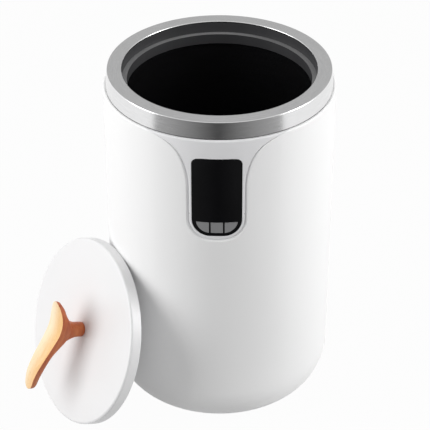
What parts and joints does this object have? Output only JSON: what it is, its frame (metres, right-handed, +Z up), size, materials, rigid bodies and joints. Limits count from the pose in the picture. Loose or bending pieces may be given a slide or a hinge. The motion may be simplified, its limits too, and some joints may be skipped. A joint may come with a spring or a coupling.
{
  "type": "towel warmer bucket",
  "caption": "Round heated towel bucket: white housing, brushed rim ring, black liner, tongue-shaped panel with display and buttons, and a leaning lid with a bent wooden handle.",
  "frame": {"origin": "middle of the foot ring, on the floor it stands on", "axes": "+Z up along the bucket's axis, the control panel faces -Y, and the leaning lid lies towards -X and -Y"},
  "size_m": [0.4348, 0.3733, 0.508],
  "materials": {
    "white_plastic": "satin",
    "panel_plastic": "satin",
    "black_window": "gloss",
    "button_grey": "satin",
    "dark_plastic": "satin",
    "ring_metal": "brushed",
    "black_anodised": "gloss",
    "silicone_heater": "matte",
    "felt": "matte",
    "foam": "matte",
    "black_rubber": "matte",
    "grey_silicone": "matte",
    "board_green": "satin",
    "steel": "satin",
    "part_white": "matte",
    "cable_jacket": "matte",
    "beech": "oiled"
  },
  "bodies": {
    "housing": {"outer_shell": "white_plastic", "control_panel": "panel_plastic", "display_window": "black_window", "display_module": "dark_plastic", "control_board": "board_green", "board_cover": "dark_plastic", "tact_switches": "dark_plastic", "panel_screws": "steel", "rim_ring": "ring_metal", "inner_collar": "dark_plastic", "rim_screws": "steel", "inner_liner": "black_anodised", "heating_element": "silicone_heater", "insulation_blanket": "felt", "base_pan": "white_plastic", "foot_ring": "black_rubber", "base_screws": "steel", "liner_stand": "dark_plastic", "power_board": "board_green", "terminal_block": "part_white", "thermal_cutout": "part_white", "thermal_fuse": "part_white", "fuse_clip": "steel", "ntc_sensor": "steel", "control_cable": "cable_jacket", "heater_leads": "cable_jacket", "cord_gland": "black_rubber"},
    "lid": {"lid_cover": "white_plastic", "lid_plate": "white_plastic", "lid_gasket": "grey_silicone", "lid_insulation": "foam", "lid_screws": "steel", "lid_handle": "beech", "handle_washer": "steel", "handle_bolt": "steel"},
    "button_left": {"button_left": "button_grey"},
    "button_middle": {"button_middle": "button_grey"},
    "button_right": {"button_right": "button_grey"}
  },
  "joints": [
    {"name": "lid_pull", "type": "slide", "parent": "housing", "child": "lid", "axis": [-0.8046, -0.4911, 0.3338], "range_m": [0, 0.25]},
    {"name": "button_left_press", "type": "slide", "parent": "housing", "child": "button_left", "axis": [0, 1, 0], "range_m": [0, 0.0008], "stiffness_N_per_m": 2000},
    {"name": "button_middle_press", "type": "slide", "parent": "housing", "child": "button_middle", "axis": [0, 1, 0], "range_m": [0, 0.0008], "stiffness_N_per_m": 2000},
    {"name": "button_right_press", "type": "slide", "parent": "housing", "child": "button_right", "axis": [0, 1, 0], "range_m": [0, 0.0008], "stiffness_N_per_m": 2000}
  ]
}
